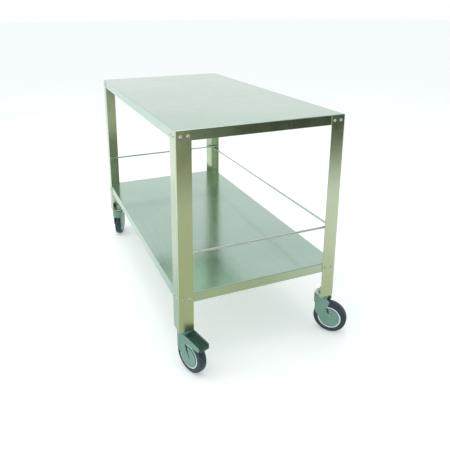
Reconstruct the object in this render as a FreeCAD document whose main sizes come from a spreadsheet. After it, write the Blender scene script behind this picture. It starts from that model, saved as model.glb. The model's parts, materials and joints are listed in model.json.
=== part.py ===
"""A two-tier stainless steel hospital trolley on four swivel castors.

Two folded trays are screwed between four angle legs. Three thin guard rails stand above the lower
tray at its two ends and its back, and the front is open. Each castor has a moulded fork that
swivels on a steel stem under the leg, and the two castors on the open side have a brake pedal.

Units are millimetres. +Z is up, X is the long way, and the open side faces -Y. The origin is on
the floor, in the middle of the footprint of the whole trolley with its castors as they stand.
"""
import FreeCAD, Part
import math
import os
import Sketcher
from FreeCAD import Placement, Rotation, Vector

DIMENSIONS = (
    # the whole trolley
    ("cart_length", 1150, "outside of the legs, along X"),
    ("cart_width", 620, "outside of the legs, along Y"),
    ("cart_height", 860, "floor to the top tray's surface"),
    ("centre_x", -0.8, "middle of the trays from the middle of the footprint"),
    ("centre_y", -21.7, "middle of the trays from the middle of the footprint"),
    # trays
    ("tray_gauge", 1.5, "sheet thickness"),
    ("apron_depth", 35, "height of the folded edge"),
    ("apron_hem", 14, "width of the return at the foot of the apron"),
    ("tray_corner", 3, "radius of an upright corner"),
    ("tray_bend", 2.5, "outside radius of the fold at the top"),
    ("shelf_level", 296, "floor to the lower tray's surface"),
    ("stiffener_length", 1030, "hat channel under a tray"),
    ("stiffener_crown", 44, "width of the channel's flat crown"),
    ("stiffener_brim", 18, "width of each glued brim"),
    ("stiffener_depth", 24, "height of the channel"),
    # legs
    ("leg_gauge", 2, "sheet thickness"),
    ("leg_flange", 54, "width of each side of the angle"),
    ("leg_bend", 3.5, "outside radius of the fold"),
    ("leg_foot", 153, "floor to the foot of the leg"),
    ("leg_drop", 1, "top of the leg below the tray's surface"),
    ("plate_gauge", 4, "castor plate inside the foot of a leg"),
    ("plate_chamfer", 18, "cut across the plate's free corner"),
    # tray screws
    ("screw_first", 18, "first screw from the outside corner"),
    ("screw_pitch", 25, "between the two screws of a flange"),
    ("screw_below", 19.5, "screws below the tray's surface"),
    ("screw_shank", 6, "diameter"),
    ("screw_reach", 10.5, "length under the head"),
    ("screw_hole", 6.6, "diameter of the holes in the sheets"),
    ("screw_head", 10.5, "diameter of the button head"),
    ("screw_rise", 3.2, "height of the button head"),
    ("screw_key", 4, "across the flats of the socket"),
    ("screw_key_depth", 1.92, "depth of the socket"),
    ("screw_rim", 0.8, "upright rim under the head's dome"),
    ("screw_tip", 0.5, "chamfer at the end of the shank"),
    ("nut_flats", 10, "across the flats"),
    ("nut_rise", 5, "height"),
    ("nut_bore", 6.1, "diameter"),
    ("nut_chamfer_start", 0.2, "chamfer's top edge inside the flats"),
    ("nut_chamfer_slope", 0.6, "fall of the chamfer over its width"),
    ("nut_chamfer_reach", 1, "chamfer's cut outside the corners"),
    # guard rails
    ("rail_rod", 8, "diameter"),
    ("rail_inset", 9, "rod's axis inside the outer faces"),
    ("rail_level", 428, "floor to the back rail's axis"),
    ("rail_step", 12, "end rails above the back rail"),
    ("collar_width", 11.5, "diameter of the collar at a rod's end"),
    ("collar_length", 9, "along the rod"),
    # castor: the swivel
    ("castor_inset", 30, "swivel axis inside the outer faces of the leg"),
    ("castor_trail", 38, "axle behind the swivel axis"),
    ("head_radius", 26, "fork's head"),
    ("head_top", 150, "floor to the top of the head"),
    ("head_foot", 116, "floor to the underside of the head"),
    ("head_round", 4, "radius at the top of the head"),
    ("stem_radius", 6, "threaded end above the plate"),
    ("stem_top", 178, "floor to the tip of the thread"),
    ("stem_shoulder", 19, "radius of the shoulder under the plate"),
    ("stem_gap", 0.5, "shoulder above the head"),
    ("pin_radius", 7, "part of the stem in the bearing"),
    ("pin_head", 9.5, "radius of the stem's riveted end"),
    ("pin_foot", 126.6, "floor to the riveted end"),
    ("pin_head_rise", 2.8, "height of the riveted end"),
    ("bearing_radius", 17.5, "outside of the swivel bearing"),
    ("bearing_foot", 131, "floor to the underside of the bearing"),
    ("bearing_rise", 17.5, "height of the bearing"),
    ("running_gap", 0.05, "radial play between turning pieces"),
    ("stem_nut_flats", 19, "across the flats"),
    ("stem_nut_rise", 12, "height"),
    ("stem_nut_flange", 26, "diameter of the nut's flange"),
    ("stem_nut_play", 0.1, "thread's bore over the stem's diameter"),
    ("stem_hole_play", 0.3, "plate's hole outside the stem"),
    ("stem_tip", 1, "chamfer at the tip of the thread"),
    ("rivet_play", 0.7, "room round and under the riveted end"),
    # castor: the fork
    ("fork_half", 24, "half of the fork's width at the head"),
    ("fork_inside", 16.5, "half of the gap for the wheel"),
    ("disc_half", 18.7, "half of the width over the hub discs"),
    ("disc_radius", 37.8, "disc that covers the wheel's web"),
    ("hood_step", 0.6, "front of the hood inside the head"),
    ("hood_lip", 112, "floor to the lip of the hood in front of the wheel"),
    ("wheel_room", 3.5, "between the tread and the hood"),
    ("axle_radius", 4, "axle"),
    ("axle_half", 17.8, "half of the axle's length"),
    ("axle_play", 0.1, "room at each end of the axle"),
    ("fork_top", 142, "floor to the top of the fork's arms"),
    ("taper_top", 122, "floor to where the arms begin to lean inward"),
    ("head_wall", 2.5, "head's wall beside the gap behind it"),
    ("gap_foot", 100, "floor to the foot of the gap behind the head"),
    # castor: side view of the arm, behind the swivel axis and above the floor
    ("arm_front", -27, "front of the moulding, just ahead of the head"),
    ("arm_lip", 106, "foot of the upright front"),
    ("sweep_x", -14, "lower end of the front curve"),
    ("sweep_z", 76, "lower end of the front curve"),
    ("sweep_radius", 48, "front curve"),
    ("toe_x", 1.2, "where the arm runs out on the disc"),
    ("toe_z", 58, "where the arm runs out on the disc"),
    ("heel_start", 5.2, "front of the arm's foot"),
    ("arm_foot", 46, "floor to the arm's foot"),
    ("heel_x", 46, "back of the arm's foot"),
    ("heel_radius", 6, "round corner at the back of the foot"),
    ("heel_out", 47.5, "end of the round corner"),
    ("heel_z", 54, "end of the round corner"),
    ("crease_x", 44.5, "lower end of the arm's hollow back"),
    ("crease_z", 60, "lower end of the arm's hollow back"),
    ("notch_x", 26, "notch under the cheek"),
    ("notch_z", 103, "notch under the cheek"),
    ("crease_radius", 90, "arm's hollow back"),
    ("slit_foot", 3, "width of the slit in the disc, at its foot"),
    ("slit_mouth", 6, "width of the slit at the disc's edge"),
    # castor: side view of the cheek
    ("cheek_foot_x", 32, "front of the cheek's foot"),
    ("cheek_foot_z", 114, "front of the cheek's foot"),
    ("cheek_tail_x", 92, "end of the straight foot"),
    ("cheek_tail_z", 112, "end of the straight foot"),
    ("cheek_nose_x", 99, "furthest point of the cheek"),
    ("cheek_nose_z", 118, "furthest point of the cheek"),
    ("cheek_nose_low", 8, "radius under the nose"),
    ("cheek_back_x", 95, "start of the cheek's top"),
    ("cheek_back_z", 130, "start of the cheek's top"),
    ("cheek_nose_high", 9, "radius over the nose"),
    ("cheek_root_x", 36, "end of the cheek's top"),
    ("cheek_root_z", 139.8, "end of the cheek's top"),
    ("cheek_join_x", 24, "where a cheek meets the head"),
    ("cheek_join_z", 142, "where a cheek meets the head"),
    # castor: side view of the stub in place of the cheek
    ("stub_foot_x", 31, "foot of the stub"),
    ("stub_foot_z", 112, "foot of the stub"),
    ("stub_out", 34.5, "furthest point of the stub"),
    ("stub_out_z", 122, "furthest point of the stub"),
    ("stub_top_x", 33, "end of the stub's round back"),
    ("stub_top_z", 136, "end of the stub's round back"),
    ("stub_round", 10, "stub's round back"),
    ("stub_join_z", 141, "where the stub meets the head"),
    # castor: the wheel
    ("wheel_radius", 62.5, "to the middle of the tread"),
    ("tyre_half", 15, "half of the tyre's width"),
    ("rim_radius", 43, "seat of the tyre"),
    ("rim_lip", 40.3, "inside radius of the pale lip"),
    ("tread_half", 8.5, "half of the crowned tread"),
    ("tread_crown", 0.6, "rise of the tread"),
    ("hub_radius", 13, "outside of the hub"),
    ("hub_half", 15.4, "half of the hub's length"),
    ("hub_foot", 14, "radius of the hub's foot on the web"),
    ("web_half", 3.2, "half of the web's thickness"),
    ("rim_half", 14.2, "half of the rim's width"),
    ("rim_foot", 35.3, "radius of the rim's foot on the web"),
    ("rim_inside", 36.8, "inside radius of the rim"),
    ("lip_half", 15.7, "half of the width over the pale lips"),
    ("bush_half", 15.9, "half of the bush's length"),
    ("sidewall_radius", 55, "where the tyre's round shoulder begins"),
    ("shoulder_factor", 1.05, "shoulder's radius over its width"),
    ("bush_radius", 7, "outside of the hub's bush"),
    # castor: the brake
    ("pedal_half", 19.6, "half of the pedal's width"),
    ("cheek_inside", 20.2, "half of the gap between the fork's cheeks"),
    ("pivot_x", 31, "pedal's pin behind the swivel axis"),
    ("pivot_z", 132, "floor to the pedal's pin"),
    ("pivot_radius", 3, "pedal's pin"),
    ("pedal_barrel", 5.2, "radius of the barrel round the pin"),
    ("pedal_wall", 2.2, "thickness of the pedal's sides"),
    ("pin_end", 1, "pedal's pin inside the fork's faces"),
    ("shoe_half", 12, "half of the brake shoe's width"),
    # castor: side view of the pedal, up
    ("lever_root_x", 27.5, "top of the pedal's root"),
    ("lever_root_z", 138.8, "top of the pedal's root"),
    ("lever_heel_x", 28.5, "foot of the pedal's root"),
    ("lever_heel_z", 130, "foot of the pedal's root"),
    ("lever_side_x", 38, "start of the sides' lower edge"),
    ("lever_side_z", 128.4, "start of the sides' lower edge"),
    ("lip_back", 101.2, "back of the turned-down lip"),
    ("lip_side_z", 119.6, "sides' lower edge at the lip"),
    ("lip_foot", 113.6, "foot of the lip"),
    ("lip_front", 104.4, "front of the lip"),
    ("lip_shoulder", 124.6, "start of the round edge over the lip"),
    ("lip_top_x", 101.6, "end of the round edge over the lip"),
    ("lip_top_z", 127.6, "end of the round edge over the lip"),
    ("lip_round", 3.2, "round edge over the lip"),
    ("lever_front_x", 32, "start of the pedal's top"),
    ("lever_front_z", 139.2, "start of the pedal's top"),
    ("hollow_start", 37.4, "start of the pedal's hollow"),
    ("hollow_floor", 135.2, "underside of the top at the hollow's start"),
    ("hollow_end", 124.4, "underside of the top at the lip"),
    # castor: side view of the brake shoe
    ("shoe_front", 44.7, "front of the shoe"),
    ("shoe_front_top", 133.96, "top of the shoe's front"),
    ("shoe_front_foot", 127.2, "foot of the shoe's front"),
    ("shoe_back", 59, "back of the shoe"),
    ("shoe_back_foot", 126, "foot of the shoe's back"),
    ("shoe_back_top", 131.54, "top of the shoe's back"),
    ("shoe_play", 0.5, "shoe's hollow outside the wheel's radius"),
    # how far each castor is turned about its stem: 0 trails along +X
    ("front_right_turn", 21, "degrees"),
    ("back_right_turn", 43, "degrees"),
    ("front_left_turn", 155, "degrees"),
    ("back_left_turn", 150, "degrees"),
)

# name: side along X, side along Y, turn of the leg's angle, and whether the castor has a brake
CORNERS = {
    "front_right": (1, -1, 90, True),
    "back_right": (1, 1, 180, False),
    "front_left": (-1, -1, 0, True),
    "back_left": (-1, 1, 270, False),
}

XY, XZ, YZ = "XY_Plane", "XZ_Plane", "YZ_Plane"
THROUGH = 400  # longer than any piece that a pocket has to pass through
CLEAR = 20  # how far a cutting outline stands clear of the material
LEAST_CUT = 1e-3  # mm3
LEVEL_TOLERANCE = 1e-3

doc = FreeCAD.newDocument("trolley")
nodes = []


def fill_sheet():
    """Writes every driving dimension to the sheet, with its alias and its meaning."""
    page = doc.addObject("Spreadsheet::Sheet", "Dims")
    for row, (alias, number, meaning) in enumerate(DIMENSIONS, start=1):
        page.set(f"A{row}", alias)
        page.set(f"B{row}", str(number))
        page.set(f"C{row}", meaning)
        page.setAlias(f"B{row}", alias)
    doc.recompute()
    return page


sheet = fill_sheet()


def value(expression):
    """The number that an expression over the sheet stands for."""
    if isinstance(expression, (int, float)):
        return float(expression)
    return float(sheet.evalExpression(expression))


def dims(text):
    """Writes an expression with each alias given its sheet, so that objects can be bound to it."""
    aliases = {alias for alias, _, _ in DIMENSIONS}
    out, word = [], ""
    for letter in str(text) + " ":
        if letter.isalnum() or letter == "_":
            word += letter
            continue
        out.append(f"Dims.{word}" if word in aliases else word)
        out.append(letter)
        word = ""
    return "".join(out).strip()


def bind(thing, path, text):
    """Binds one property to an expression over the sheet."""
    thing.setExpression(path, dims(text))


def new_body(label):
    """A body that becomes one node of the same name."""
    body = doc.addObject("PartDesign::Body", label)
    body.Label = label
    return body


def keep(thing):
    """Adds an object to the nodes that are written out."""
    nodes.append(thing)
    return thing


def place(thing, x="0", y="0", z="0", turn="0"):
    """Binds a placement to the sheet. The turn is about Z, and the trays' middle is added."""
    thing.Placement = Placement(Vector(), Rotation(Vector(0, 0, 1), value(dims(turn))))
    bind(thing, "Placement.Rotation.Angle", turn)
    bind(thing, "Placement.Base.x", f"centre_x + {x}")
    bind(thing, "Placement.Base.y", f"centre_y + {y}")
    bind(thing, "Placement.Base.z", z)


def new_sketch(body, plane, level="0"):
    """A sketch on one of the body's own origin planes, moved along that plane's normal."""
    sketch = body.newObject("Sketcher::SketchObject", f"{body.Name}_sketch")
    origin_plane = next(f for f in body.Origin.OriginFeatures if f.Role == plane)
    sketch.AttachmentSupport = [(origin_plane, "")]
    sketch.MapMode = "FlatFace"
    bind(sketch, "AttachmentOffset.Base.z", level)
    return sketch


def tie(sketch, kind, *where_and_text):
    """Adds one dimension to a sketch and binds it to the sheet."""
    *where, text = where_and_text
    index = sketch.addConstraint(Sketcher.Constraint(kind, *where, value(dims(text))))
    bind(sketch, f"Constraints[{index}]", text)


def arc_between(start, end, radius):
    """The short arc from start to end, which turns left where the radius is positive.

    A sketch holds every arc counterclockwise, so one that turns right is made from its end.
    """
    if radius < 0:
        start, end = end, start
    chord = end - start
    across = Vector(-chord.y, chord.x, 0).normalize()
    rise = math.sqrt(max(radius * radius - chord.Length**2 / 4, 0))
    centre = start + chord * 0.5 + across * rise
    first = math.atan2(start.y - centre.y, start.x - centre.x)
    last = math.atan2(end.y - centre.y, end.x - centre.x)
    if last < first:
        last += 2 * math.pi
    circle = Part.Circle(centre, Vector(0, 0, 1), abs(radius))
    return Part.ArcOfCircle(circle, first, last)


def draw_outline(sketch, points):
    """Draws a closed outline. A point is (x, y), or (x, y, radius) where an arc leads to it."""
    corners = [Vector(value(dims(p[0])), value(dims(p[1])), 0) for p in points]
    ends = []
    for number, point in enumerate(points):
        start, end = corners[number - 1], corners[number]
        if len(point) == 2:
            index = sketch.addGeometry(Part.LineSegment(start, end))
            ends.append((index, 1, 2))
            continue
        radius = value(dims(point[2]))
        index = sketch.addGeometry(arc_between(start, end, radius))
        ends.append((index, 1, 2) if radius > 0 else (index, 2, 1))
    for number, point in enumerate(points):
        index, _, last = ends[number]
        following, first, _ = ends[(number + 1) % len(points)]
        sketch.addConstraint(Sketcher.Constraint("Coincident", index, last, following, first))
        tie(sketch, "DistanceX", -1, 1, index, last, point[0])
        tie(sketch, "DistanceY", -1, 1, index, last, point[1])
        if len(point) == 3:
            tie(sketch, "Radius", index, f"abs({point[2]})")


def draw_circle(sketch, x, y, radius):
    """Draws a circle and ties its centre and radius."""
    centre = Vector(value(dims(x)), value(dims(y)), 0)
    index = sketch.addGeometry(Part.Circle(centre, Vector(0, 0, 1), value(dims(radius))))
    tie(sketch, "DistanceX", -1, 1, index, 3, x)
    tie(sketch, "DistanceY", -1, 1, index, 3, y)
    tie(sketch, "Radius", index, radius)


def draw_box(sketch, left, bottom, right, top):
    """Draws a rectangle from its four sides."""
    draw_outline(sketch, [(right, bottom), (right, top), (left, top), (left, bottom)])


def draw_round_box(sketch, length, width, radius):
    """Draws a rectangle round the sketch's origin, with rounded corners."""
    x, y = f"({length}) / 2", f"({width}) / 2"
    draw_outline(sketch, [
        (f"{x} - ({radius})", f"-{y}"),
        (x, f"-{y} + ({radius})", radius),
        (x, f"{y} - ({radius})"),
        (f"{x} - ({radius})", y, radius),
        (f"-{x} + ({radius})", y),
        (f"-{x}", f"{y} - ({radius})", radius),
        (f"-{x}", f"-{y} + ({radius})"),
        (f"-{x} + ({radius})", f"-{y}", radius),
    ])


def draw_hexagon(sketch, flats):
    """Draws a hexagon round the sketch's origin, from the distance across its flats."""
    corner = f"({flats}) / sqrt(3)"
    points = []
    for number in range(6):
        angle = 60 * number
        points.append((f"{corner} * cos({angle})", f"{corner} * sin({angle})"))
    draw_outline(sketch, points)


def extrude(kind, body, sketch, length, centred, backward):
    """Adds a pad or a pocket of a bound length."""
    feature = body.newObject(f"PartDesign::{kind}", f"{body.Name}_{kind.lower()}")
    feature.Profile = sketch
    bind(feature, "Length", length)
    feature.Midplane = centred
    feature.Reversed = backward
    sketch.Visibility = False
    doc.recompute()
    return feature


def pad(body, sketch, length, centred=False, backward=False):
    return extrude("Pad", body, sketch, length, centred, backward)


def pocket(body, sketch, length=THROUGH, centred=False, backward=False):
    """Cuts a sketch out of a body, and stops if nothing was cut."""
    before = body.Shape.Volume
    feature = extrude("Pocket", body, sketch, length, centred, backward)
    if body.Shape.Volume > before - LEAST_CUT:
        raise RuntimeError(f"{feature.Name} cut nothing")
    return feature


def revolve(body, sketch):
    """Turns a sketch a full turn about its own vertical axis."""
    feature = body.newObject("PartDesign::Revolution", f"{body.Name}_revolution")
    feature.Profile = sketch
    feature.ReferenceAxis = (sketch, ["V_Axis"])
    feature.Angle = 360
    sketch.Visibility = False
    doc.recompute()
    return feature


def round_edges(body, radius, wanted):
    """Rounds the edges of the body that the test picks."""
    base = body.Tip
    names = [f"Edge{n}" for n, edge in enumerate(base.Shape.Edges, start=1) if wanted(edge)]
    if not names:
        raise RuntimeError(f"{body.Label} has no such edge")
    feature = body.newObject("PartDesign::Fillet", f"{body.Name}_fillet")
    feature.Base = (base, names)
    bind(feature, "Radius", radius)
    doc.recompute()
    return feature


def at_level(edge, level):
    """True if the whole edge lies at one height."""
    box = edge.BoundBox
    return abs(box.ZMin - level) < LEVEL_TOLERANCE and abs(box.ZMax - level) < LEVEL_TOLERANCE


# ---------------------------------------------------------------- trays


def screw_offsets():
    """The distances of a flange's two screws from the outside corner."""
    return ("screw_first", "screw_first + screw_pitch")


def tray(label, level):
    """A sheet folded down on four sides, with a return along the foot of the apron."""
    body = new_body(label)
    length, width = "cart_length - 2 * leg_gauge", "cart_width - 2 * leg_gauge"

    outside = new_sketch(body, XY)
    draw_round_box(outside, length, width, "tray_corner")
    pad(body, outside, "apron_depth")
    top = value(dims("apron_depth"))
    round_edges(body, "tray_bend", lambda edge: at_level(edge, top))

    inside = new_sketch(body, XY)
    inner_length, inner_width = f"{length} - 2 * tray_gauge", f"{width} - 2 * tray_gauge"
    draw_round_box(inside, inner_length, inner_width, "tray_corner - tray_gauge")
    pocket(body, inside, "apron_depth - tray_gauge", backward=True)

    hem = new_sketch(body, XY)
    draw_round_box(hem, inner_length, inner_width, "tray_corner - tray_gauge")
    draw_round_box(hem, f"{inner_length} - 2 * apron_hem", f"{inner_width} - 2 * apron_hem", "tray_corner")
    pad(body, hem, "tray_gauge")

    for plane, side in ((YZ, "cart_width"), (XZ, "cart_length")):
        holes = new_sketch(body, plane)
        for offset in screw_offsets():
            for sign in ("", "-"):
                across = f"{sign}({side} / 2 - ({offset}))"
                draw_circle(holes, across, "apron_depth - screw_below", "screw_hole / 2")
        pocket(body, holes, "cart_length + cart_width", centred=True)

    place(body, z=f"{level} - apron_depth")
    return keep(body)


def stiffener(label, level):
    """A hat channel glued along the middle of a tray's underside."""
    body = new_body(label)
    crown, gauge = "stiffener_crown / 2", "tray_gauge"
    brim = f"{crown} + stiffener_brim"
    depth = "stiffener_depth"
    profile = new_sketch(body, YZ)
    draw_outline(profile, [
        (f"-({crown})", f"-{depth}"),
        (crown, f"-{depth}"),
        (crown, f"-{gauge}"),
        (brim, f"-{gauge}"),
        (brim, "0"),
        (f"{crown} - {gauge}", "0"),
        (f"{crown} - {gauge}", f"-{depth} + {gauge}"),
        (f"-({crown} - {gauge})", f"-{depth} + {gauge}"),
        (f"-({crown} - {gauge})", "0"),
        (f"-({brim})", "0"),
        (f"-({brim})", f"-{gauge}"),
        (f"-({crown})", f"-{gauge}"),
    ])
    pad(body, profile, "stiffener_length", centred=True)
    place(body, z=f"{level} - tray_gauge")
    return keep(body)


# ---------------------------------------------------------------- legs


def at_corner(thing, corner, z):
    """Places a piece whose own origin is the outside corner of a leg."""
    side_x, side_y, turn, _ = CORNERS[corner]
    place(thing, f"{side_x} * cart_length / 2", f"{side_y} * cart_width / 2", z, str(turn))


def leg(corner):
    """An angle leg of folded sheet, with four screw holes in each of its two sides."""
    body = new_body(f"{corner}_leg")
    section = new_sketch(body, XY)
    draw_outline(section, [
        ("leg_flange", "0"),
        ("leg_flange", "leg_gauge"),
        ("leg_bend", "leg_gauge"),
        ("leg_gauge", "leg_bend", "-(leg_bend - leg_gauge)"),
        ("leg_gauge", "leg_flange"),
        ("0", "leg_flange"),
        ("0", "leg_bend"),
        ("leg_bend", "0", "leg_bend"),
    ])
    pad(body, section, "cart_height - leg_drop - leg_foot")
    for plane in (YZ, XZ):
        holes = new_sketch(body, plane)
        for level in ("cart_height", "shelf_level"):
            for offset in screw_offsets():
                draw_circle(holes, offset, f"{level} - screw_below - leg_foot", "screw_hole / 2")
        pocket(body, holes, centred=True)
    at_corner(body, corner, "leg_foot")
    return keep(body)


def castor_plate(corner):
    """A plate welded inside the foot of a leg, with the hole for the castor's stem."""
    body = new_body(f"{corner}_castor_plate")
    near, far = "leg_gauge", "leg_flange"
    fold = "leg_bend - leg_gauge"
    plate = new_sketch(body, XY)
    draw_outline(plate, [
        (far, near),
        (far, f"{far} - plate_chamfer"),
        (f"{far} - plate_chamfer", far),
        (near, far),
        (near, "leg_bend"),
        ("leg_bend", near, fold),
    ])
    draw_circle(plate, "castor_inset", "castor_inset", "stem_radius + stem_hole_play")
    pad(body, plate, "plate_gauge")
    at_corner(body, corner, "leg_foot")
    return keep(body)


# ---------------------------------------------------------------- guard rails


RAILS = {
    # name: along X, side, axis height
    "back_rail": (True, 1, "rail_level"),
    "right_rail": (False, 1, "rail_level + rail_step"),
    "left_rail": (False, -1, "rail_level + rail_step"),
}


def rail_run(along_x, side):
    """The sideways offset of a rail's axis, and the rail's length."""
    long_side, across = ("cart_length", "cart_width") if along_x else ("cart_width", "cart_length")
    offset = f"{side} * ({across} / 2 - rail_inset)"
    length = f"{long_side} - 2 * leg_gauge"
    return offset, length


def lay(thing, along_x, start, offset, z):
    """Lays a cylinder along X or Y, from start, at a sideways offset and a height."""
    axis = Vector(0, 1, 0) if along_x else Vector(-1, 0, 0)
    thing.Placement = Placement(Vector(), Rotation(axis, 90))
    x, y = (start, offset) if along_x else (offset, start)
    bind(thing, "Placement.Base.x", f"centre_x + {x}")
    bind(thing, "Placement.Base.y", f"centre_y + {y}")
    bind(thing, "Placement.Base.z", z)


def rail(label, along_x, side, z):
    """A straight rod whose ends stand on the inner faces of two legs."""
    offset, length = rail_run(along_x, side)
    rod = doc.addObject("Part::Cylinder", label)
    rod.Label = label
    bind(rod, "Radius", "rail_rod / 2")
    bind(rod, "Height", length)
    lay(rod, along_x, f"-({length}) / 2", offset, z)
    return keep(rod)


def rail_collars():
    """The short collars welded round the six rod ends."""
    collar = new_body("collar")
    ring = new_sketch(collar, XY)
    draw_circle(ring, "0", "0", "collar_width / 2")
    draw_circle(ring, "0", "0", "rail_rod / 2")
    pad(collar, ring, "collar_length")
    links = []
    for name, (along_x, side, z) in RAILS.items():
        offset, length = rail_run(along_x, side)
        for start in (f"-({length}) / 2", f"({length}) / 2 - collar_length"):
            link = doc.addObject("App::Link", f"{name}_collar")
            link.LinkedObject = collar
            lay(link, along_x, start, offset, z)
            links.append(link)
    return group("rail_collars", links)


def group(label, links):
    """One node of several separate solids."""
    compound = doc.addObject("Part::Compound", label)
    compound.Label = label
    compound.Links = links
    return keep(compound)


# ---------------------------------------------------------------- fasteners


def screw_master():
    """A button-head screw. Its head stands on the plane z = 0 and its shank goes down."""
    body = new_body("screw")
    profile = new_sketch(body, XZ)
    rise = "(screw_rise - screw_rim)"
    dome = f"((screw_head / 2)^2 + {rise}^2) / (2 * {rise})"
    draw_outline(profile, [
        ("0", "-screw_reach"),
        ("screw_shank / 2 - screw_tip", "-screw_reach"),
        ("screw_shank / 2", "-screw_reach + screw_tip"),
        ("screw_shank / 2", "0"),
        ("screw_head / 2", "0"),
        ("screw_head / 2", "screw_rim"),
        ("0", "screw_rise", dome),
    ])
    revolve(body, profile)
    socket = new_sketch(body, XY, "screw_rise")
    draw_hexagon(socket, "screw_key")
    pocket(body, socket, "screw_key_depth")
    return body


def nut_master(label, flats, rise, bore, flange=None):
    """A hexagon nut that stands on the plane z = 0, with its top corners turned off."""
    body = new_body(label)
    prism = new_sketch(body, XY)
    draw_hexagon(prism, flats)
    pad(body, prism, rise)
    if flange:
        foot = new_sketch(body, XY)
        draw_circle(foot, "0", "0", f"{flange} / 2")
        pad(body, foot, f"{rise} / 6")
    outside = f"{flats} / sqrt(3) + nut_chamfer_reach"
    turned = new_sketch(body, XZ)
    draw_outline(turned, [
        (f"{flats} / 2 - nut_chamfer_start", rise),
        (outside, f"{rise} - ({outside} - {flats} / 2) * nut_chamfer_slope"),
        (outside, rise),
    ])
    groove = body.newObject("PartDesign::Groove", f"{label}_groove")
    groove.Profile = turned
    groove.ReferenceAxis = (turned, ["V_Axis"])
    groove.Angle = 360
    turned.Visibility = False
    hole = new_sketch(body, XY)
    draw_circle(hole, "0", "0", f"{bore} / 2")
    doc.recompute()
    pocket(body, hole, f"3 * {rise}", centred=True)
    return body


def facing(side_x, side_y):
    """The rotation that turns a fastener's +Z to the given side."""
    return Rotation(Vector(0, 0, 1), Vector(side_x, side_y, 0))


def tray_fasteners(label, master, level, inset, inward):
    """Sixteen copies of a fastener: two on each side of each leg, at one tray's level."""
    links = []
    for corner, (side_x, side_y, _, _) in CORNERS.items():
        for offset in screw_offsets():
            for on_end in (True, False):
                sink_x, sink_y = (inset, offset) if on_end else (offset, inset)
                link = doc.addObject("App::Link", f"{label}_{corner}")
                link.LinkedObject = master
                out = (side_x, 0) if on_end else (0, side_y)
                turn = facing(-out[0], -out[1]) if inward else facing(*out)
                link.Placement = Placement(Vector(), turn)
                x = f"{side_x} * (cart_length / 2 - ({sink_x}))"
                y = f"{side_y} * (cart_width / 2 - ({sink_y}))"
                bind(link, "Placement.Base.x", f"centre_x + {x}")
                bind(link, "Placement.Base.y", f"centre_y + {y}")
                bind(link, "Placement.Base.z", f"{level} - screw_below")
                links.append(link)
    return group(label, links)


def stem_nuts(master):
    """The four nuts that hold the castors' stems on their plates."""
    links = []
    for corner in CORNERS:
        link = doc.addObject("App::Link", f"{corner}_stem_nut")
        link.LinkedObject = master
        on_castor(link, corner, z="leg_foot + plate_gauge")
        links.append(link)
    return group("stem_nuts", links)


# ---------------------------------------------------------------- castors


def on_castor(thing, corner, along="0", z="0"):
    """Places a piece in a castor's frame: origin on the swivel axis, X along the trail."""
    side_x, side_y, _, _ = CORNERS[corner]
    turn = f"{corner}_turn"
    x = f"{side_x} * (cart_length / 2 - castor_inset) + ({along}) * cos({turn})"
    y = f"{side_y} * (cart_width / 2 - castor_inset) + ({along}) * sin({turn})"
    place(thing, x, y, z, turn)


def stem(corner):
    """The steel stem: thread, shoulder, bearing pin and riveted end."""
    body = new_body(f"{corner}_stem")
    profile = new_sketch(body, XZ)
    draw_outline(profile, [
        ("0", "pin_foot"),
        ("pin_head", "pin_foot"),
        ("pin_head", "pin_foot + pin_head_rise"),
        ("pin_radius", "pin_foot + pin_head_rise"),
        ("pin_radius", "head_top + stem_gap"),
        ("stem_shoulder", "head_top + stem_gap"),
        ("stem_shoulder", "leg_foot"),
        ("stem_radius", "leg_foot"),
        ("stem_radius", "stem_top - stem_tip"),
        ("stem_radius - stem_tip", "stem_top"),
        ("0", "stem_top"),
    ])
    revolve(body, profile)
    on_castor(body, corner)
    return keep(body)


def head_bearing(corner):
    """The swivel bearing, seated in the fork's head round the stem's pin."""
    body = new_body(f"{corner}_head_bearing")
    ring = new_sketch(body, XY, "bearing_foot")
    draw_circle(ring, "0", "0", "bearing_radius")
    draw_circle(ring, "0", "0", "pin_radius + running_gap")
    pad(body, ring, "bearing_rise")
    on_castor(body, corner)
    return keep(body)


def arm_outline(braked):
    """The side view of a fork's arm and cheek. A cheek is only a stub where there is no brake."""
    points = [
        ("arm_front", "head_top"),
        ("arm_front", "arm_lip"),
        ("sweep_x", "sweep_z", "sweep_radius"),
        ("toe_x", "toe_z"),
        ("heel_start", "arm_foot"),
        ("heel_x", "arm_foot"),
        ("heel_out", "heel_z", "heel_radius"),
        ("crease_x", "crease_z"),
        ("notch_x", "notch_z", "-crease_radius"),
    ]
    if not braked:
        return points + [
            ("stub_foot_x", "stub_foot_z"),
            ("stub_out", "stub_out_z"),
            ("stub_top_x", "stub_top_z", "stub_round"),
            ("cheek_join_x", "stub_join_z"),
            ("cheek_join_x", "head_top"),
        ]
    return points + [
        ("cheek_foot_x", "cheek_foot_z"),
        ("cheek_tail_x", "cheek_tail_z"),
        ("cheek_nose_x", "cheek_nose_z", "cheek_nose_low"),
        ("cheek_back_x", "cheek_back_z", "cheek_nose_high"),
        ("cheek_root_x", "cheek_root_z"),
        ("cheek_join_x", "cheek_join_z"),
        ("cheek_join_x", "head_top"),
    ]


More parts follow.
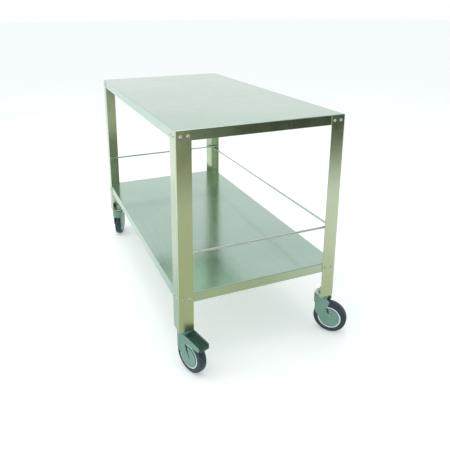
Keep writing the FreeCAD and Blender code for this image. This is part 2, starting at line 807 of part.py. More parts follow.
def fork(corner, braked):
    """The moulded fork: round head, hood over the wheel, and an arm and a slit disc on each side."""
    body = new_body(f"{corner}_fork")

    plan = new_sketch(body, XY)
    tail = "castor_trail + 2 * disc_radius"
    front = "(head_radius - hood_step)"
    flat = f"sqrt({front}^2 - fork_half^2)"
    draw_outline(plan, [
        (tail, "fork_half"),
        (f"-{flat}", "fork_half"),
        (f"-{flat}", "-fork_half", front),
        (tail, "-fork_half"),
    ])
    pad(body, plan, "fork_top")

    side = new_sketch(body, XZ)
    draw_box(side, f"-head_radius - {CLEAR}", f"-{CLEAR}", f"{tail} + {CLEAR}", f"head_top + {CLEAR}")
    draw_outline(side, arm_outline(braked))
    pocket(body, side, centred=True)

    taper = new_sketch(body, YZ)
    for sign in ("", "-"):
        draw_outline(taper, [
            (f"{sign}disc_half", "arm_foot"),
            (f"{sign}(fork_half + {CLEAR})", "arm_foot"),
            (f"{sign}(fork_half + {CLEAR})", "taper_top"),
            (f"{sign}fork_half", "taper_top"),
        ])
    pocket(body, taper, centred=True)

    disc = new_sketch(body, XZ)
    draw_circle(disc, "castor_trail", "wheel_radius", "disc_radius")
    pad(body, disc, "2 * disc_half", centred=True)
    slit = new_sketch(body, XZ)
    draw_outline(slit, [
        ("crease_x", "crease_z"),
        ("notch_x", "notch_z", "-crease_radius"),
        ("notch_x + slit_mouth", "notch_z"),
        ("crease_x + slit_foot", "crease_z", "crease_radius"),
    ])
    pocket(body, slit, centred=True)

    head = new_sketch(body, XY, "head_foot")
    draw_circle(head, "0", "0", "head_radius")
    pad(body, head, "head_top - head_foot")
    top = value(dims("head_top"))
    round_edges(body, "head_round", lambda edge: at_level(edge, top))

    well = new_sketch(body, XZ)
    draw_circle(well, "castor_trail", "wheel_radius", "wheel_radius + wheel_room")
    pocket(body, well, "2 * fork_inside", centred=True)
    mouth = new_sketch(body, XZ)
    draw_box(mouth, f"-head_radius - {CLEAR}", f"{CLEAR}", "0", "hood_lip")
    pocket(body, mouth, "2 * fork_inside", centred=True)

    seat = new_sketch(body, XY, "head_top")
    draw_circle(seat, "0", "0", "bearing_radius + running_gap")
    pocket(body, seat, "head_top - bearing_foot")
    rivet_room = new_sketch(body, XY, "bearing_foot")
    draw_circle(rivet_room, "0", "0", "pin_head + rivet_play")
    pocket(body, rivet_room, "bearing_foot - pin_foot + rivet_play")

    axle_hole = new_sketch(body, XZ)
    draw_circle(axle_hole, "castor_trail", "wheel_radius", "axle_radius + running_gap")
    pocket(body, axle_hole, "2 * (axle_half + axle_play)", centred=True)

    gap = new_sketch(body, XZ)
    draw_box(gap, "head_radius - head_wall", "gap_foot", tail, "fork_top")
    pocket(body, gap, "2 * cheek_inside", centred=True)
    if braked:
        pin_hole = new_sketch(body, XZ)
        draw_circle(pin_hole, "pivot_x", "pivot_z", "pivot_radius + running_gap")
        pocket(body, pin_hole, centred=True)

    on_castor(body, corner)
    return keep(body)


def axle(corner):
    """The axle, held in blind holes in the two discs."""
    body = new_body(f"{corner}_axle")
    section = new_sketch(body, XZ)
    draw_circle(section, "castor_trail", "wheel_radius", "axle_radius")
    pad(body, section, "2 * axle_half", centred=True)
    on_castor(body, corner)
    return keep(body)


def turned_piece(corner, name, points):
    """A piece of the wheel, turned about the axle. A point is (radius, distance along the axle)."""
    body = new_body(f"{corner}_{name}")
    profile = new_sketch(body, XY)
    draw_outline(profile, points)
    revolve(body, profile)
    on_castor(body, corner, "castor_trail", "wheel_radius")
    return keep(body)


def wheel(corner):
    """The moulded wheel: hub, thin web and a rim with a pale raised lip on both sides."""
    return turned_piece(corner, "wheel", [
        ("bush_radius", "-hub_half"),
        ("hub_radius", "-hub_half"),
        ("hub_foot", "-web_half"),
        ("rim_foot", "-web_half"),
        ("rim_inside", "-rim_half"),
        ("rim_lip", "-rim_half"),
        ("rim_lip", "-lip_half"),
        ("rim_radius", "-lip_half"),
        ("rim_radius", "lip_half"),
        ("rim_lip", "lip_half"),
        ("rim_lip", "rim_half"),
        ("rim_inside", "rim_half"),
        ("rim_foot", "web_half"),
        ("hub_foot", "web_half"),
        ("hub_radius", "hub_half"),
        ("bush_radius", "hub_half"),
    ])


def tyre(corner):
    """The rubber tyre, with round shoulders and a slightly crowned tread."""
    edge = "wheel_radius - tread_crown"
    crown = "(tread_half^2 + tread_crown^2) / (2 * tread_crown)"
    shoulder = "(tyre_half - tread_half) * shoulder_factor"
    return turned_piece(corner, "tyre", [
        ("rim_radius", "-tyre_half"),
        ("sidewall_radius", "-tyre_half"),
        (edge, "-tread_half", shoulder),
        (edge, "tread_half", crown),
        ("sidewall_radius", "tyre_half", shoulder),
        ("rim_radius", "tyre_half"),
    ])


def hub_bush(corner):
    """The bush pressed into the hub, which runs on the axle."""
    return turned_piece(corner, "hub_bush", [
        ("axle_radius + running_gap", "-bush_half"),
        ("bush_radius", "-bush_half"),
        ("bush_radius", "bush_half"),
        ("axle_radius + running_gap", "bush_half"),
    ])


def pedal(corner):
    """The brake pedal: a channel over the wheel, hinged at the head, with a turned-down lip."""
    body = new_body(f"{corner}_brake_pedal")
    lever = new_sketch(body, XZ)
    draw_outline(lever, [
        ("lever_root_x", "lever_root_z"),
        ("lever_heel_x", "lever_heel_z"),
        ("lever_side_x", "lever_side_z"),
        ("lip_back", "lip_side_z"),
        ("lip_back", "lip_foot"),
        ("lip_front", "lip_foot"),
        ("lip_front", "lip_shoulder"),
        ("lip_top_x", "lip_top_z", "lip_round"),
        ("lever_front_x", "lever_front_z"),
    ])
    pad(body, lever, "2 * pedal_half", centred=True)
    barrel = new_sketch(body, XZ)
    draw_circle(barrel, "pivot_x", "pivot_z", "pedal_barrel")
    pad(body, barrel, "2 * pedal_half", centred=True)
    hollow = new_sketch(body, XZ)
    draw_outline(hollow, [
        ("hollow_start", "arm_lip"),
        ("lip_back", "arm_lip"),
        ("lip_back", "hollow_end"),
        ("hollow_start", "hollow_floor"),
    ])
    pocket(body, hollow, "2 * (pedal_half - pedal_wall)", centred=True)
    pin_hole = new_sketch(body, XZ)
    draw_circle(pin_hole, "pivot_x", "pivot_z", "pivot_radius + running_gap")
    pocket(body, pin_hole, centred=True)
    on_castor(body, corner)
    return keep(body)


def pedal_pin(corner):
    """The pin through the fork's cheeks that the pedal turns on."""
    body = new_body(f"{corner}_pedal_pin")
    section = new_sketch(body, XZ)
    draw_circle(section, "pivot_x", "pivot_z", "pivot_radius")
    pad(body, section, "2 * (fork_half - pin_end)", centred=True)
    on_castor(body, corner)
    return keep(body)


def brake_shoe(corner):
    """The block under the pedal. Its curved face meets the tread when the pedal is down."""
    body = new_body(f"{corner}_brake_shoe")
    block = new_sketch(body, XZ)
    draw_outline(block, [
        ("shoe_front", "shoe_front_top"),
        ("shoe_front", "shoe_front_foot"),
        ("shoe_back", "shoe_back_foot", "-(wheel_radius + shoe_play)"),
        ("shoe_back", "shoe_back_top"),
    ])
    pad(body, block, "2 * shoe_half", centred=True)
    on_castor(body, corner)
    return keep(body)


# ---------------------------------------------------------------- the trolley


def build():
    tray("top_tray", "cart_height")
    tray("lower_tray", "shelf_level")
    stiffener("top_stiffener", "cart_height")
    stiffener("lower_stiffener", "shelf_level")
    for label, (along_x, side, z) in RAILS.items():
        rail(label, along_x, side, z)
    rail_collars()

    screw = screw_master()
    nut = nut_master("nut", "nut_flats", "nut_rise", "nut_bore")
    sheets = "leg_gauge + tray_gauge"
    for name, level in (("top", "cart_height"), ("lower", "shelf_level")):
        tray_fasteners(f"{name}_tray_screws", screw, level, "0", inward=False)
        tray_fasteners(f"{name}_tray_nuts", nut, level, sheets, inward=True)
    stem_nuts(nut_master(
        "stem_nut", "stem_nut_flats", "stem_nut_rise", "(2 * stem_radius + stem_nut_play)", "stem_nut_flange"
    ))

    for corner, (_, _, _, braked) in CORNERS.items():
        leg(corner)
        castor_plate(corner)
        stem(corner)
        fork(corner, braked)
        head_bearing(corner)
        axle(corner)
        wheel(corner)
        tyre(corner)
        hub_bush(corner)
        if braked:
            pedal(corner)
            pedal_pin(corner)
            brake_shoe(corner)


def check():
    """Stops if any object failed, or if a node is empty or not valid."""
    doc.recompute()
    for thing in doc.Objects:
        if "Invalid" in thing.State or "Error" in thing.State:
            raise RuntimeError(f"{thing.Label} failed: {thing.State}")
    for node in nodes:
        if node.Shape.isNull() or not node.Shape.isValid() or not node.Shape.Solids:
            raise RuntimeError(f"{node.Label} has no valid solid")


def write():
    """Writes each node to its own file, and prints the size of the whole."""
    os.makedirs("parts", exist_ok=True)
    whole = FreeCAD.BoundBox()
    for node in nodes:
        node.Shape.exportStep(f"parts/{node.Label}.step")
        whole.add(node.Shape.BoundBox)
    print(len(nodes), "nodes", whole)


build()
check()
write()
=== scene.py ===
import json
import math

import bpy
import bmesh
from mathutils import Matrix, Vector


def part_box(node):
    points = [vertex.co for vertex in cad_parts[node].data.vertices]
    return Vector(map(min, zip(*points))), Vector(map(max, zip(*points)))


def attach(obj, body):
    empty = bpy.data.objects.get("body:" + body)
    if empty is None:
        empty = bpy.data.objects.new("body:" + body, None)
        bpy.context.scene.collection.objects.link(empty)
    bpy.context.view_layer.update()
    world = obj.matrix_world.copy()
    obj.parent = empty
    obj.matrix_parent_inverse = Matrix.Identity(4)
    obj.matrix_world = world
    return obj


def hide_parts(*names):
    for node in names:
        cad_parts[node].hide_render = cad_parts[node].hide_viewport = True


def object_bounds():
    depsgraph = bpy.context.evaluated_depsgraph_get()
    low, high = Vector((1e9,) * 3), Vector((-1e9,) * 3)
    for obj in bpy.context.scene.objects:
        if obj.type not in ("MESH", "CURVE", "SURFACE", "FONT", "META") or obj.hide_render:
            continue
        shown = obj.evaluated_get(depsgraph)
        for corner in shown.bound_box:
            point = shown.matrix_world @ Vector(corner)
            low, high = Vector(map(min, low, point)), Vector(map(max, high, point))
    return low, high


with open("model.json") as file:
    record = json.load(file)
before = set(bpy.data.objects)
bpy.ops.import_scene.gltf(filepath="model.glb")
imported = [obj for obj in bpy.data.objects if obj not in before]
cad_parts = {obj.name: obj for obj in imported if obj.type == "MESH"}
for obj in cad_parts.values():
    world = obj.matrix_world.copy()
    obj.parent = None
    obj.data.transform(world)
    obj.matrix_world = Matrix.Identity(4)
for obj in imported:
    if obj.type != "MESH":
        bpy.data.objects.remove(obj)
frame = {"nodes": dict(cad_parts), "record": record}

# Lengths are in metres, unless a name says otherwise.

CAD_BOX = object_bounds()

# The corners with a castor, and whether each castor has a brake pedal.
CASTOR_BRAKES = {"front_right": True, "back_right": False, "front_left": True, "back_left": False}

# The camera, from the middle of the top tray's footprint on the floor. Angles are in radians.
CAMERA_FROM_TRAYS = Vector((1.9336, -0.7537, 1.2259))
CAMERA_YAW = 2.7726
CAMERA_PITCH = 0.2691
CAMERA_ROLL = -0.008
CAMERA_LENS_MM = 39.26
CAMERA_SENSOR_MM = 36
CAMERA_SHIFT = (0.0556, -0.1889)

# A moulded piece's edges are softened by small voxels and smoothing. MOULD_KEEP is the share of
# its triangles that stays.
MOULD_VOXEL = 0.0009
MOULD_SMOOTHING = 6
MOULD_SMOOTH_FACTOR = 0.5
MOULD_KEEP = 0.3

# Noises: the scale per metre, the octaves and how strong the finer octaves are.
SHEET_LINES = (1.0, 4.0, 0.55)
SHEET_PATCHES = (3.2, 3.0, 0.55)
SHEET_MARKS = (21.0, 5.0, 0.65)
METAL_DIRT = (240.0, 4.0, 0.55)
METAL_GRAIN = (2200.0, 3.0, 0.55)
FLOW_MARKS = (34.0, 4.0, 0.55)
SCUFFS = (150.0, 6.0, 0.7)
PLASTIC_GRAIN = (2600.0, 2.0, 0.55)
RUBBER_DUST_AND_SHEEN = (75.0, 6.0, 0.65)
RUBBER_GRAIN = (1800.0, 2.0, 0.55)
FLOOR_CLOUDS = (1.3, 2.0, 0.55)

# The part of a noise over which its effect goes from none to all.
WHOLE = (0.0, 1.0)
PATCH_SPAN = (0.3, 0.7)
LINE_SPAN = (0.25, 0.75)
MARK_SPAN = (0.35, 0.8)
DIRT_COLOUR_SPAN = (0.35, 0.6)
DIRT_ROUGH_SPAN = (0.3, 0.65)
SCUFF_COLOUR_SPAN = (0.58, 0.78)
SCUFF_ROUGH_SPAN = (0.4, 0.75)
DUST_AND_SHEEN_COLOUR_SPAN = (0.5, 0.8)
DUST_ROUGH_SPAN = (0.35, 0.75)

# Steel: the shades of the grain's lines, and what marks, lines and dirt do to the roughness.
LINE_SHADES = (0.93, 1.05)
MARK_ROUGHNESS = (-0.02, 0.05)
LINE_ROUGHNESS = (-0.03, 0.05)
DIRT_ROUGHNESS = 0.14
SHEET_WAVE = 0.0003
CHANNEL_WAVE = 0.0006
METAL_GRAIN_DEPTH = 0.00002
LINE_STRENGTH = 0.6
GRAIN_STRENGTH = 0.5

# The scale of the grain's lines along X, Y and Z. They run along X on a tray and along Z on a leg.
TRAY_LINES = (5, 620, 620)
LEG_LINES = (620, 620, 5)
CHANNEL_LINES = (5, 500, 500)

# Plastic: how much of the worn colour a scuff shows, and how much rougher it is.
SCUFF_COVER = 0.35
SCUFF_ROUGHNESS = 0.16
PLASTIC_GRAIN_DEPTH = 0.00003
PLASTIC_GLOSS = 0.5

# Where the surface bends enough to be an edge, which is painted paler as rubbed wear and a highlight, or a
# crease, which is painted darker as shade.
EDGE_SPAN = (0.53, 0.60)
EDGE_COVER = 0.8
EDGE_GAIN = 1.6
EDGE_LIFT = 0.12
CREASE_SPAN = (0.38, 0.47)
CREASE_COVER = 0.85
CREASE_SHADE = 0.2

# Rubber: how much the paler patches cover, which are dust and, on the tyre, a painted sheen, and the
# roughness of clean and dusty rubber.
DUST_AND_SHEEN_COVER = 0.55
RUBBER_ROUGHNESS = (0.42, 0.66)
RUBBER_GRAIN_DEPTH = 0.00004

# The floor lies just under the tyres.
FLOOR_RADIUS = 40
FLOOR_SIDES = 96
FLOOR_GAP = 0.0002
FLOOR_SHADES = ((0.90, 0.90, 0.90), (0.93, 0.93, 0.93))
FLOOR_ROUGHNESS = 0.75
FLOOR_GLOW = 0.26

# The light from all round: a height between -1 and 1, and the colour there.
SKY_LOW = (0.1, (1.0, 1.0, 1.0, 1.0))
SKY_HIGH = (0.6, (0.66, 0.72, 0.73, 1.0))
SKY_STRENGTH = 1.0

# Soft lamps: place, size and power in watts.
LAMPS = {
    "overhead": ((0.2, -0.3, 3.4), (3.0, 2.4), 40),
    "front": ((-0.6, -3.2, 1.8), (2.4, 1.6), 18),
}

# Colours that the bright metal mirrors.
PALE = (0.88, 0.92, 0.87)
TAN = (0.56, 0.57, 0.39)
SHADE = (0.24, 0.26, 0.17)
DARK = (0.055, 0.06, 0.025)
CLEAR = (0.88, 0.96, 0.97)
TEAL = (0.60, 0.71, 0.72)

# Cards for the metal to mirror: one stands beyond the trolley's right end, and two lie on the floor.
# Each is a square with sides of one metre, which Blender sizes by half a side, scaled to its own size.
UNIT_SQUARE = 0.5
FLAT = (0, 0, 0)
FACING_END = (math.pi / 2, 0, math.pi / 2)
CARDS = {
    "far_card": {
        "at": (1.8, 0.75, 0.65),
        "size": (1.7, 1.3),
        "turn": FACING_END,
        "colours": (TAN, PALE, SHADE, DARK),
        "along": (0.1, 0.4),
        "upward": (0.02, 0.3),
    },
    "low_card": {
        "at": (1.22, 0.45, 0.004),
        "size": (1.1, 2.1),
        "turn": FLAT,
        "colours": (TAN, TAN, PALE, PALE),
        "along": WHOLE,
        "upward": (0.38, 0.7),
    },
    "side_card": {
        "at": (-0.3, -0.93, 0.004),
        "size": (2.0, 1.14),
        "turn": FLAT,
        "colours": (CLEAR, TEAL, CLEAR, TEAL),
        "along": (0.5, 0.75),
        "upward": WHOLE,
    },
}


# ---------------------------------------------------------------- shader graphs


class Graph:
    """A material with a Principled shader, and short calls for the nodes that feed it."""

    def __init__(self, name):
        self.material = bpy.data.materials.new(name)
        self.material.use_nodes = True
        self.tree = self.material.node_tree
        self.shader = self.tree.nodes["Principled BSDF"]

    def add(self, kind, settings=None, **inputs):
        """A node of that kind. An input is a number, a colour or another node's output."""
        node = self.tree.nodes.new(kind)
        for name, setting in (settings or {}).items():
            setattr(node, name, setting)
        for name, given in inputs.items():
            self.feed(node, name.replace("_", " "), given)
        return node

    def feed(self, node, name, given):
        """Sets an input, or links it."""
        socket = node.inputs[name]
        if isinstance(given, bpy.types.NodeSocket):
            self.tree.links.new(given, socket)
        else:
            socket.default_value = given

    def finish(self, **inputs):
        """Feeds the shader's own inputs and gives the material back."""
        for name, given in inputs.items():
            self.feed(self.shader, name.replace("_", " "), given)
        return self.material

    def noise(self, kind, stretch=(1, 1, 1)):
        """Noise between 0 and 1 in the object's own coordinates, stretched by three scales."""
        scale, octaves, roughness = kind
        where = self.add("ShaderNodeTexCoord").outputs["Object"]
        place = self.add("ShaderNodeMapping", Vector=where, Scale=stretch).outputs["Vector"]
        node = self.add("ShaderNodeTexNoise", Vector=place, Scale=scale, Detail=octaves, Roughness=roughness)
        return node.outputs["Fac"]

    def span(self, value, wanted, given=WHOLE):
        """Takes a value from the given span to the wanted one, and holds it at the ends."""
        node = self.add("ShaderNodeMapRange", Value=value)
        node.inputs["From Min"].default_value, node.inputs["From Max"].default_value = given
        node.inputs["To Min"].default_value, node.inputs["To Max"].default_value = wanted
        return node.outputs["Result"]

    def total(self, first, second):
        """Adds two values."""
        node = self.add("ShaderNodeMath", {"operation": "ADD"})
        self.put(node.inputs[0], first)
        self.put(node.inputs[1], second)
        return node.outputs[0]

    def mix(self, share, first, second, blend="MIX"):
        """Mixes two colours."""
        node = self.add("ShaderNodeMix", {"data_type": "RGBA", "blend_type": blend})
        sockets = {socket.identifier: socket for socket in node.inputs}
        self.put(sockets["Factor_Float"], share)
        self.put(sockets["A_Color"], first)
        self.put(sockets["B_Color"], second)
        return next(socket for socket in node.outputs if socket.identifier == "Result_Color")

    def put(self, socket, given):
        """Sets one socket, or links it. A colour is given without its alpha."""
        if isinstance(given, bpy.types.NodeSocket):
            self.tree.links.new(given, socket)
        elif isinstance(given, (int, float)):
            socket.default_value = given
        else:
            socket.default_value = (*given, 1.0)

    def bump(self, height, depth, strength=1.0, under=None):
        """A bump of that depth, on top of another bump if one is given."""
        node = self.add("ShaderNodeBump", Height=height, Distance=depth, Strength=strength)
        if under is not None:
            self.tree.links.new(under, node.inputs["Normal"])
        return node.outputs["Normal"]


# ---------------------------------------------------------------- materials


def brushed_sheet(name, bright, dull, stretch, roughness, wave=SHEET_WAVE):
    """Stainless sheet: a fine grain one way, handling marks, and a slight wave from the rolling."""
    graph = Graph(name)
    lines = graph.noise(SHEET_LINES, stretch)
    patches = graph.noise(SHEET_PATCHES)
    marks = graph.noise(SHEET_MARKS)
    colour = graph.mix(graph.span(patches, WHOLE, PATCH_SPAN), dull, bright)
    streaks = graph.span(lines, LINE_SHADES, LINE_SPAN)
    grey = graph.add("ShaderNodeCombineColor", Red=streaks, Green=streaks, Blue=streaks)
    colour = graph.mix(1.0, colour, grey.outputs["Color"], "MULTIPLY")
    smooth, smudged = MARK_ROUGHNESS
    marked = graph.span(marks, (roughness + smooth, roughness + smudged), MARK_SPAN)
    rough = graph.total(marked, graph.span(lines, LINE_ROUGHNESS))
    wavy = graph.bump(patches, wave)
    fine = graph.bump(lines, METAL_GRAIN_DEPTH, LINE_STRENGTH, under=wavy)
    return graph.finish(Base_Color=colour, Metallic=1.0, Roughness=rough, Normal=fine)


def turned_steel(name, bright, dull, roughness):
    """Bright small steel: screws, nuts, rods and pins, a little duller where dirt has settled."""
    graph = Graph(name)
    dirt = graph.noise(METAL_DIRT)
    colour = graph.mix(graph.span(dirt, WHOLE, DIRT_COLOUR_SPAN), dull, bright)
    rough = graph.span(dirt, (roughness + DIRT_ROUGHNESS, roughness), DIRT_ROUGH_SPAN)
    fine = graph.bump(graph.noise(METAL_GRAIN), METAL_GRAIN_DEPTH, GRAIN_STRENGTH)
    return graph.finish(Base_Color=colour, Metallic=1.0, Roughness=rough, Normal=fine)


def moulded(name, colour, worn, roughness):
    """Moulded plastic: a fine leathery grain, flow marks, scuffs, edges painted paler as rubbed wear and a
    highlight, and creases painted dark as shade.
    """
    graph = Graph(name)
    flow = graph.noise(FLOW_MARKS)
    scuffs = graph.noise(SCUFFS)
    body = graph.mix(graph.span(flow, WHOLE, PATCH_SPAN), colour, worn)
    body = graph.mix(graph.span(scuffs, (0.0, SCUFF_COVER), SCUFF_COLOUR_SPAN), body, worn)
    bend = graph.add("ShaderNodeNewGeometry").outputs["Pointiness"]
    # Edges are painted paler: rubbed wear and a painted highlight.
    rubbed_and_highlit_edge = tuple(min(1.0, part * EDGE_GAIN + EDGE_LIFT) for part in worn)
    # Creases are painted darker: painted shade.
    painted_crease_shade = tuple(CREASE_SHADE * part for part in colour)
    body = graph.mix(graph.span(bend, (0.0, EDGE_COVER), EDGE_SPAN), body, rubbed_and_highlit_edge)
    body = graph.mix(graph.span(bend, (CREASE_COVER, 0.0), CREASE_SPAN), body, painted_crease_shade)
    rough = graph.span(scuffs, (roughness, roughness + SCUFF_ROUGHNESS), SCUFF_ROUGH_SPAN)
    skin = graph.bump(graph.noise(PLASTIC_GRAIN), PLASTIC_GRAIN_DEPTH)
    gloss = {"Specular_IOR_Level": PLASTIC_GLOSS}
    return graph.finish(Base_Color=body, Roughness=rough, Normal=skin, **gloss)


def rubber(name, colour, dust_and_sheen):
    """Dark rubber with dust and a painted sheen in paler patches on its tread, and a satin sidewall."""
    graph = Graph(name)
    dust_and_sheen_noise = graph.noise(RUBBER_DUST_AND_SHEEN)
    # Paler patches: dust, and on the tyre also a painted sheen.
    body = graph.mix(graph.span(dust_and_sheen_noise, (0.0, DUST_AND_SHEEN_COVER), DUST_AND_SHEEN_COLOUR_SPAN), colour, dust_and_sheen)
    rough = graph.span(dust_and_sheen_noise, RUBBER_ROUGHNESS, DUST_ROUGH_SPAN)
    skin = graph.bump(graph.noise(RUBBER_GRAIN), RUBBER_GRAIN_DEPTH)
    return graph.finish(Base_Color=body, Roughness=rough, Normal=skin)


def floor_paint(name):
    """A plain pale studio floor."""
    graph = Graph(name)
    colour = graph.mix(graph.noise(FLOOR_CLOUDS), *FLOOR_SHADES)
    glow = {"Emission_Color": (1, 1, 1, 1), "Emission_Strength": FLOOR_GLOW}
    return graph.finish(Base_Color=colour, Roughness=FLOOR_ROUGHNESS, **glow)


MINT = (0.575, 0.71, 0.615)
MINT_DULL = (0.52, 0.655, 0.555)
OLIVE = (0.62, 0.70, 0.53)
OLIVE_DULL = (0.55, 0.62, 0.45)

# The finish of each material slot: its clean colour, then its dull, worn or dusty one; the tyre's dusty one
# is dust and a painted sheen.
FINISHES = {
    "tray_sheet": brushed_sheet("tray_steel", MINT, MINT_DULL, TRAY_LINES, roughness=0.17),
    "leg_sheet": brushed_sheet("leg_steel", OLIVE, OLIVE_DULL, LEG_LINES, roughness=0.2),
    "stiffener_sheet": brushed_sheet(
        "channel_steel", MINT_DULL, OLIVE_DULL, CHANNEL_LINES, roughness=0.3, wave=CHANNEL_WAVE
    ),
    "rail_rod": turned_steel("rod_steel", (0.82, 0.88, 0.86), (0.58, 0.64, 0.60), roughness=0.24),
    "fasteners": turned_steel("screw_steel", (0.72, 0.76, 0.70), (0.45, 0.47, 0.40), roughness=0.22),
    "zinc_fittings": turned_steel("zinc", (0.70, 0.73, 0.74), (0.47, 0.50, 0.50), roughness=0.26),
    "bearing_steel": turned_steel("bearing_steel", (0.55, 0.56, 0.57), (0.28, 0.27, 0.25), roughness=0.3),
    "fork_plastic": moulded("fork_nylon", (0.135, 0.275, 0.215), (0.18, 0.33, 0.27), roughness=0.36),
    "wheel_plastic": moulded("wheel_nylon", (0.62, 0.76, 0.82), (0.72, 0.84, 0.88), roughness=0.38),
    # The tyre's paler colour is dust and a painted sheen.
    "tyre_rubber": rubber("tyre_rubber", (0.013, 0.035, 0.049), (0.05, 0.095, 0.118)),
    "hub_bush": moulded("acetal", (0.66, 0.65, 0.60), (0.74, 0.73, 0.69), roughness=0.35),
    "pedal_plastic": moulded("pedal_nylon", (0.012, 0.045, 0.028), (0.035, 0.085, 0.06), roughness=0.3),
    "shoe_rubber": rubber("shoe_rubber", (0.02, 0.02, 0.02), (0.06, 0.06, 0.055)),
}


def dress_nodes():
    """Gives every CAD node the finish of its material slot."""
    for part in frame["record"]["subparts"]:
        mesh = frame["nodes"][part["node"]].data
        mesh.materials.clear()
        mesh.materials.append(FINISHES[part["material_slot"]])


# ---------------------------------------------------------------- moulded pieces


def mould(node, name, body, slot):
    """Stands for a CAD node with the same shape, its edges softened as a mould leaves them."""
    mesh = frame["nodes"][node].data.copy()
    mesh.name = name
    piece = bpy.data.objects.new(name, mesh)
    bpy.context.scene.collection.objects.link(piece)
    remesh = piece.modifiers.new("voxels", "REMESH")
    remesh.mode = "VOXEL"
    remesh.voxel_size = MOULD_VOXEL
    smooth = piece.modifiers.new("soft_edges", "SMOOTH")
    smooth.factor = MOULD_SMOOTH_FACTOR
    smooth.iterations = MOULD_SMOOTHING
    lighter = piece.modifiers.new("lighter", "DECIMATE")
    lighter.ratio = MOULD_KEEP
    apply_modifiers(piece)
    piece.data.materials.clear()
    piece.data.materials.append(FINISHES[slot])
    piece.data.shade_smooth()
    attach(piece, body)
    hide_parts(node)


def apply_modifiers(piece):
    """Turns the piece's modifiers into its mesh."""
    graph = bpy.context.evaluated_depsgraph_get()
    done = bpy.data.meshes.new_from_object(piece.evaluated_get(graph))
    piece.modifiers.clear()
    piece.data = done


def mould_castors():
    """The castors' forks, and the brake pedals of the castors that have one."""
    for corner, braked in CASTOR_BRAKES.items():
        mould(f"{corner}_fork", f"{corner}_moulded_fork", f"{corner}_swivel", "fork_plastic")
        if braked:
            mould(f"{corner}_brake_pedal", f"{corner}_moulded_pedal", f"{corner}_pedal", "pedal_plastic")


# ---------------------------------------------------------------- studio


def studio_world():
    """Even pale light from all round."""
    world = bpy.data.worlds.new("studio")
    bpy.context.scene.world = world
    world.use_nodes = True
    tree = world.node_tree
    sky = tree.nodes["Background"]
    where = tree.nodes.new("ShaderNodeTexCoord")
    split = tree.nodes.new("ShaderNodeSeparateXYZ")
    ramp = tree.nodes.new("ShaderNodeValToRGB")
    tree.links.new(where.outputs["Generated"], split.inputs["Vector"])
    tree.links.new(split.outputs["Z"], ramp.inputs["Fac"])
    tree.links.new(ramp.outputs["Color"], sky.inputs["Color"])
    low, high = ramp.color_ramp.elements
    low.position, low.color = SKY_LOW
    high.position, high.color = SKY_HIGH
    sky.inputs["Strength"].default_value = SKY_STRENGTH


def studio_floor():
    """A large plain floor that the trolley stands on."""
    mesh = bpy.data.meshes.new("floor")
    shape = bmesh.new()
    bmesh.ops.create_circle(shape, cap_ends=True, segments=FLOOR_SIDES, radius=FLOOR_RADIUS)
    shape.to_mesh(mesh)
    shape.free()
    floor = bpy.data.objects.new("floor", mesh)
    bpy.context.scene.collection.objects.link(floor)
    floor.location.z = CAD_BOX[0][2] - FLOOR_GAP
    mesh.materials.append(floor_paint("floor_paint"))


def softbox(name, at, towards, size, power):
    """A rectangular lamp that faces a point."""
    lamp = bpy.data.lights.new(name, "AREA")
    lamp.shape = "RECTANGLE"
    lamp.size, lamp.size_y = size
    lamp.energy = power
    holder = bpy.data.objects.new(name, lamp)
    bpy.context.scene.collection.objects.link(holder)
    holder.location = at
    holder.rotation_euler = (Vector(towards) - Vector(at)).to_track_quat("-Z", "Y").to_euler()


def reflector(name, at, size, turn, colours, along, upward):
    """A card that only bright metal sees.

    Its colours are for its four corners, and they change over the two given parts of its sides.
    """
    mesh = bpy.data.meshes.new(name)
    shape = bmesh.new()
    bmesh.ops.create_grid(shape, x_segments=1, y_segments=1, size=UNIT_SQUARE)
    bmesh.ops.scale(shape, vec=(*size, 1), verts=shape.verts)
    shape.to_mesh(mesh)
    shape.free()
    card = bpy.data.objects.new(name, mesh)
    bpy.context.scene.collection.objects.link(card)
    card.location = at
    card.rotation_euler = turn
    mesh.materials.append(card_glow(name, colours, along, upward))
    card.visible_camera = False
    card.visible_diffuse = False
    card.visible_shadow = False


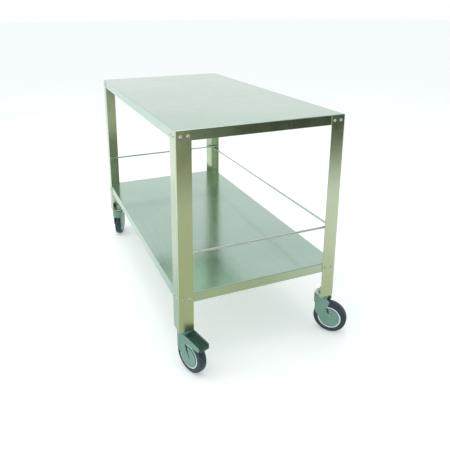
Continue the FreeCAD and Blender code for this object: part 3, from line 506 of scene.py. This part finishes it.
def card_glow(name, colours, along, upward):
    """A glow that goes from corner to corner, and mirrors nothing."""
    graph = Graph(name)
    where = graph.add("ShaderNodeTexCoord").outputs["Generated"]
    place = graph.add("ShaderNodeSeparateXYZ", Vector=where)
    sideways = graph.span(place.outputs["X"], WHOLE, along)
    foot = graph.mix(sideways, colours[0], colours[1])
    head = graph.mix(sideways, colours[2], colours[3])
    glow = graph.mix(graph.span(place.outputs["Y"], WHOLE, upward), foot, head)
    lit = {"Emission_Color": glow, "Emission_Strength": 1.0}
    return graph.finish(Base_Color=(0, 0, 0, 1), Specular_IOR_Level=0.0, **lit)


def studio_lights():
    """The lamps, which face the trolley's middle, and the cards."""
    middle = (Vector(CAD_BOX[0]) + Vector(CAD_BOX[1])) / 2
    for name, (at, size, power) in LAMPS.items():
        softbox(name, at, middle, size, power)
    for name, card in CARDS.items():
        reflector(name, **card)


def camera():
    """The camera at the trolley's open front, to the right of its near end."""
    low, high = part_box("top_tray")
    tray_middle = Vector(((low.x + high.x) / 2, (low.y + high.y) / 2, 0))
    flat = math.cos(CAMERA_PITCH)
    forward = Vector((math.cos(CAMERA_YAW) * flat, math.sin(CAMERA_YAW) * flat, -math.sin(CAMERA_PITCH)))
    right = Vector((math.sin(CAMERA_YAW), -math.cos(CAMERA_YAW), 0))
    up = right.cross(forward)
    turned_right = math.cos(CAMERA_ROLL) * right + math.sin(CAMERA_ROLL) * up
    turned_up = math.cos(CAMERA_ROLL) * up - math.sin(CAMERA_ROLL) * right
    lens = bpy.data.cameras.new("camera")
    lens.lens = CAMERA_LENS_MM
    lens.sensor_width = CAMERA_SENSOR_MM
    lens.shift_x, lens.shift_y = CAMERA_SHIFT
    holder = bpy.data.objects.new("camera", lens)
    bpy.context.scene.collection.objects.link(holder)
    turn = Matrix((turned_right, turned_up, -forward)).transposed()
    holder.matrix_world = Matrix.Translation(tray_middle + CAMERA_FROM_TRAYS) @ turn.to_4x4()
    bpy.context.scene.camera = holder


dress_nodes()
mould_castors()
studio_world()
studio_floor()
studio_lights()
camera()
bpy.context.scene.view_settings.view_transform = "Standard"
